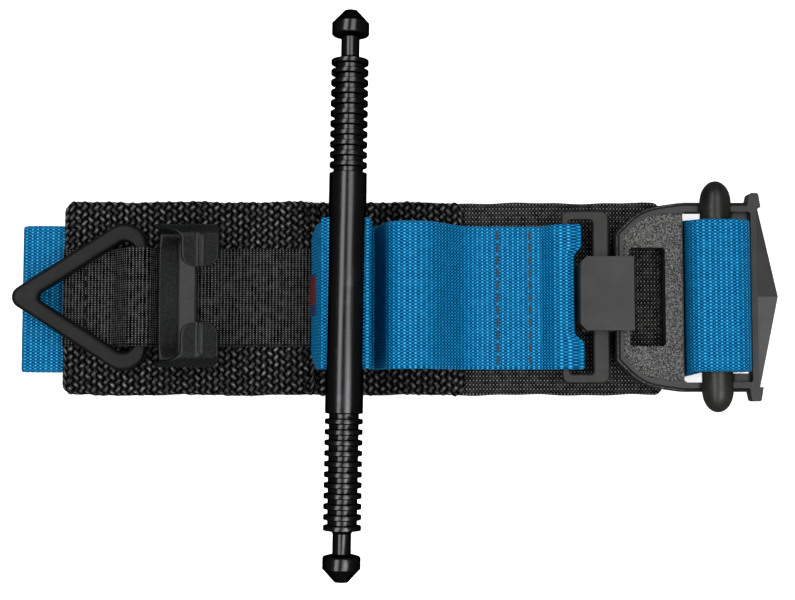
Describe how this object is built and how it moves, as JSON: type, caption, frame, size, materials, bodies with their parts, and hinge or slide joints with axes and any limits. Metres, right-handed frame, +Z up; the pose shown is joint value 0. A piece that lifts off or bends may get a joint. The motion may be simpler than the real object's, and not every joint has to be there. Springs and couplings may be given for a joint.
{
  "type": "windlass tourniquet",
  "caption": "Stowed windlass tourniquet: webbing base with a constricting band through a ribbed windlass rod, a windlass clip, a triangular securing ring and a hook-on slide-bar buckle.",
  "frame": {"origin": "on the surface the tourniquet lies on, under the middle of its box", "axes": "+X along the webbing towards the buckle, +Y across it along the windlass, +Z up"},
  "size_m": [0.2008, 0.1436, 0.0373],
  "materials": {
    "fine_black_webbing": "woven nylon, fine ribs",
    "coarse_black_webbing": "woven nylon, coarse weave",
    "blue_webbing": "woven nylon, slight sheen",
    "label_cloth": "plain woven label",
    "ring_plastic": "matte moulded",
    "clip_plastic": "smooth moulded",
    "buckle_plastic": "fine texture on the plate, smooth rim",
    "anodised_aluminium": "black anodised, satin",
    "black_thread": "sewing thread",
    "brown_thread": "sewing thread"
  },
  "bodies": {
    "base": {"base_lining": "fine_black_webbing", "base_webbing": "coarse_black_webbing", "base_cover": "coarse_black_webbing", "retainer_webbing": "fine_black_webbing", "windlass_clip": "clip_plastic", "band_anchor": "blue_webbing", "band_left_leg": "blue_webbing", "band_right_leg": "blue_webbing", "band_hump": "blue_webbing", "band_return": "blue_webbing", "band_label": "label_cloth", "main_strap": "blue_webbing", "main_strap_tail": "blue_webbing", "strap_end_stop": "blue_webbing", "retainer_stitching": "black_thread", "band_stitching": "brown_thread", "band_anchor_stitching": "black_thread", "cover_stitching": "black_thread", "weave_stitching": "black_thread", "strap_end_stitching": "black_thread"},
    "windlass": {"windlass": "anodised_aluminium", "band_core": "blue_webbing"},
    "tri_ring": {"tri_ring": "ring_plastic"},
    "ring": {"receiver_ring": "ring_plastic", "band_ring_loop": "blue_webbing"},
    "buckle": {"buckle_frame": "buckle_plastic", "main_strap_bar_wrap": "blue_webbing"},
    "slide_bar": {"slide_bar": "buckle_plastic"}
  },
  "joints": [
    {"name": "windlass_turn", "type": "hinge", "parent": "base", "child": "windlass", "pos_m": [-0.012, 0, 0.0326], "axis": [0, 0, 1], "range_deg": [-90, 90], "deforming": ["band_left_leg", "band_right_leg"]},
    {"name": "tri_ring_swing", "type": "hinge", "parent": "base", "child": "tri_ring", "pos_m": [-0.0666, 0, 0.0164], "axis": [0, 1, 0], "range_deg": [0, 90]},
    {"name": "ring_lift", "type": "hinge", "parent": "base", "child": "ring", "pos_m": [0.037, 0, 0.0128], "axis": [0, -1, 0], "range_deg": [0, 10]},
    {"name": "buckle_swing", "type": "hinge", "parent": "ring", "child": "buckle", "pos_m": [0.0543, 0, 0.0167], "axis": [0, -1, 0], "range_deg": [0, 12]},
    {"name": "slide_bar_slide", "type": "slide", "parent": "buckle", "child": "slide_bar", "axis": [1, 0, 0], "range_m": [-0.0015, 0.0025]}
  ]
}
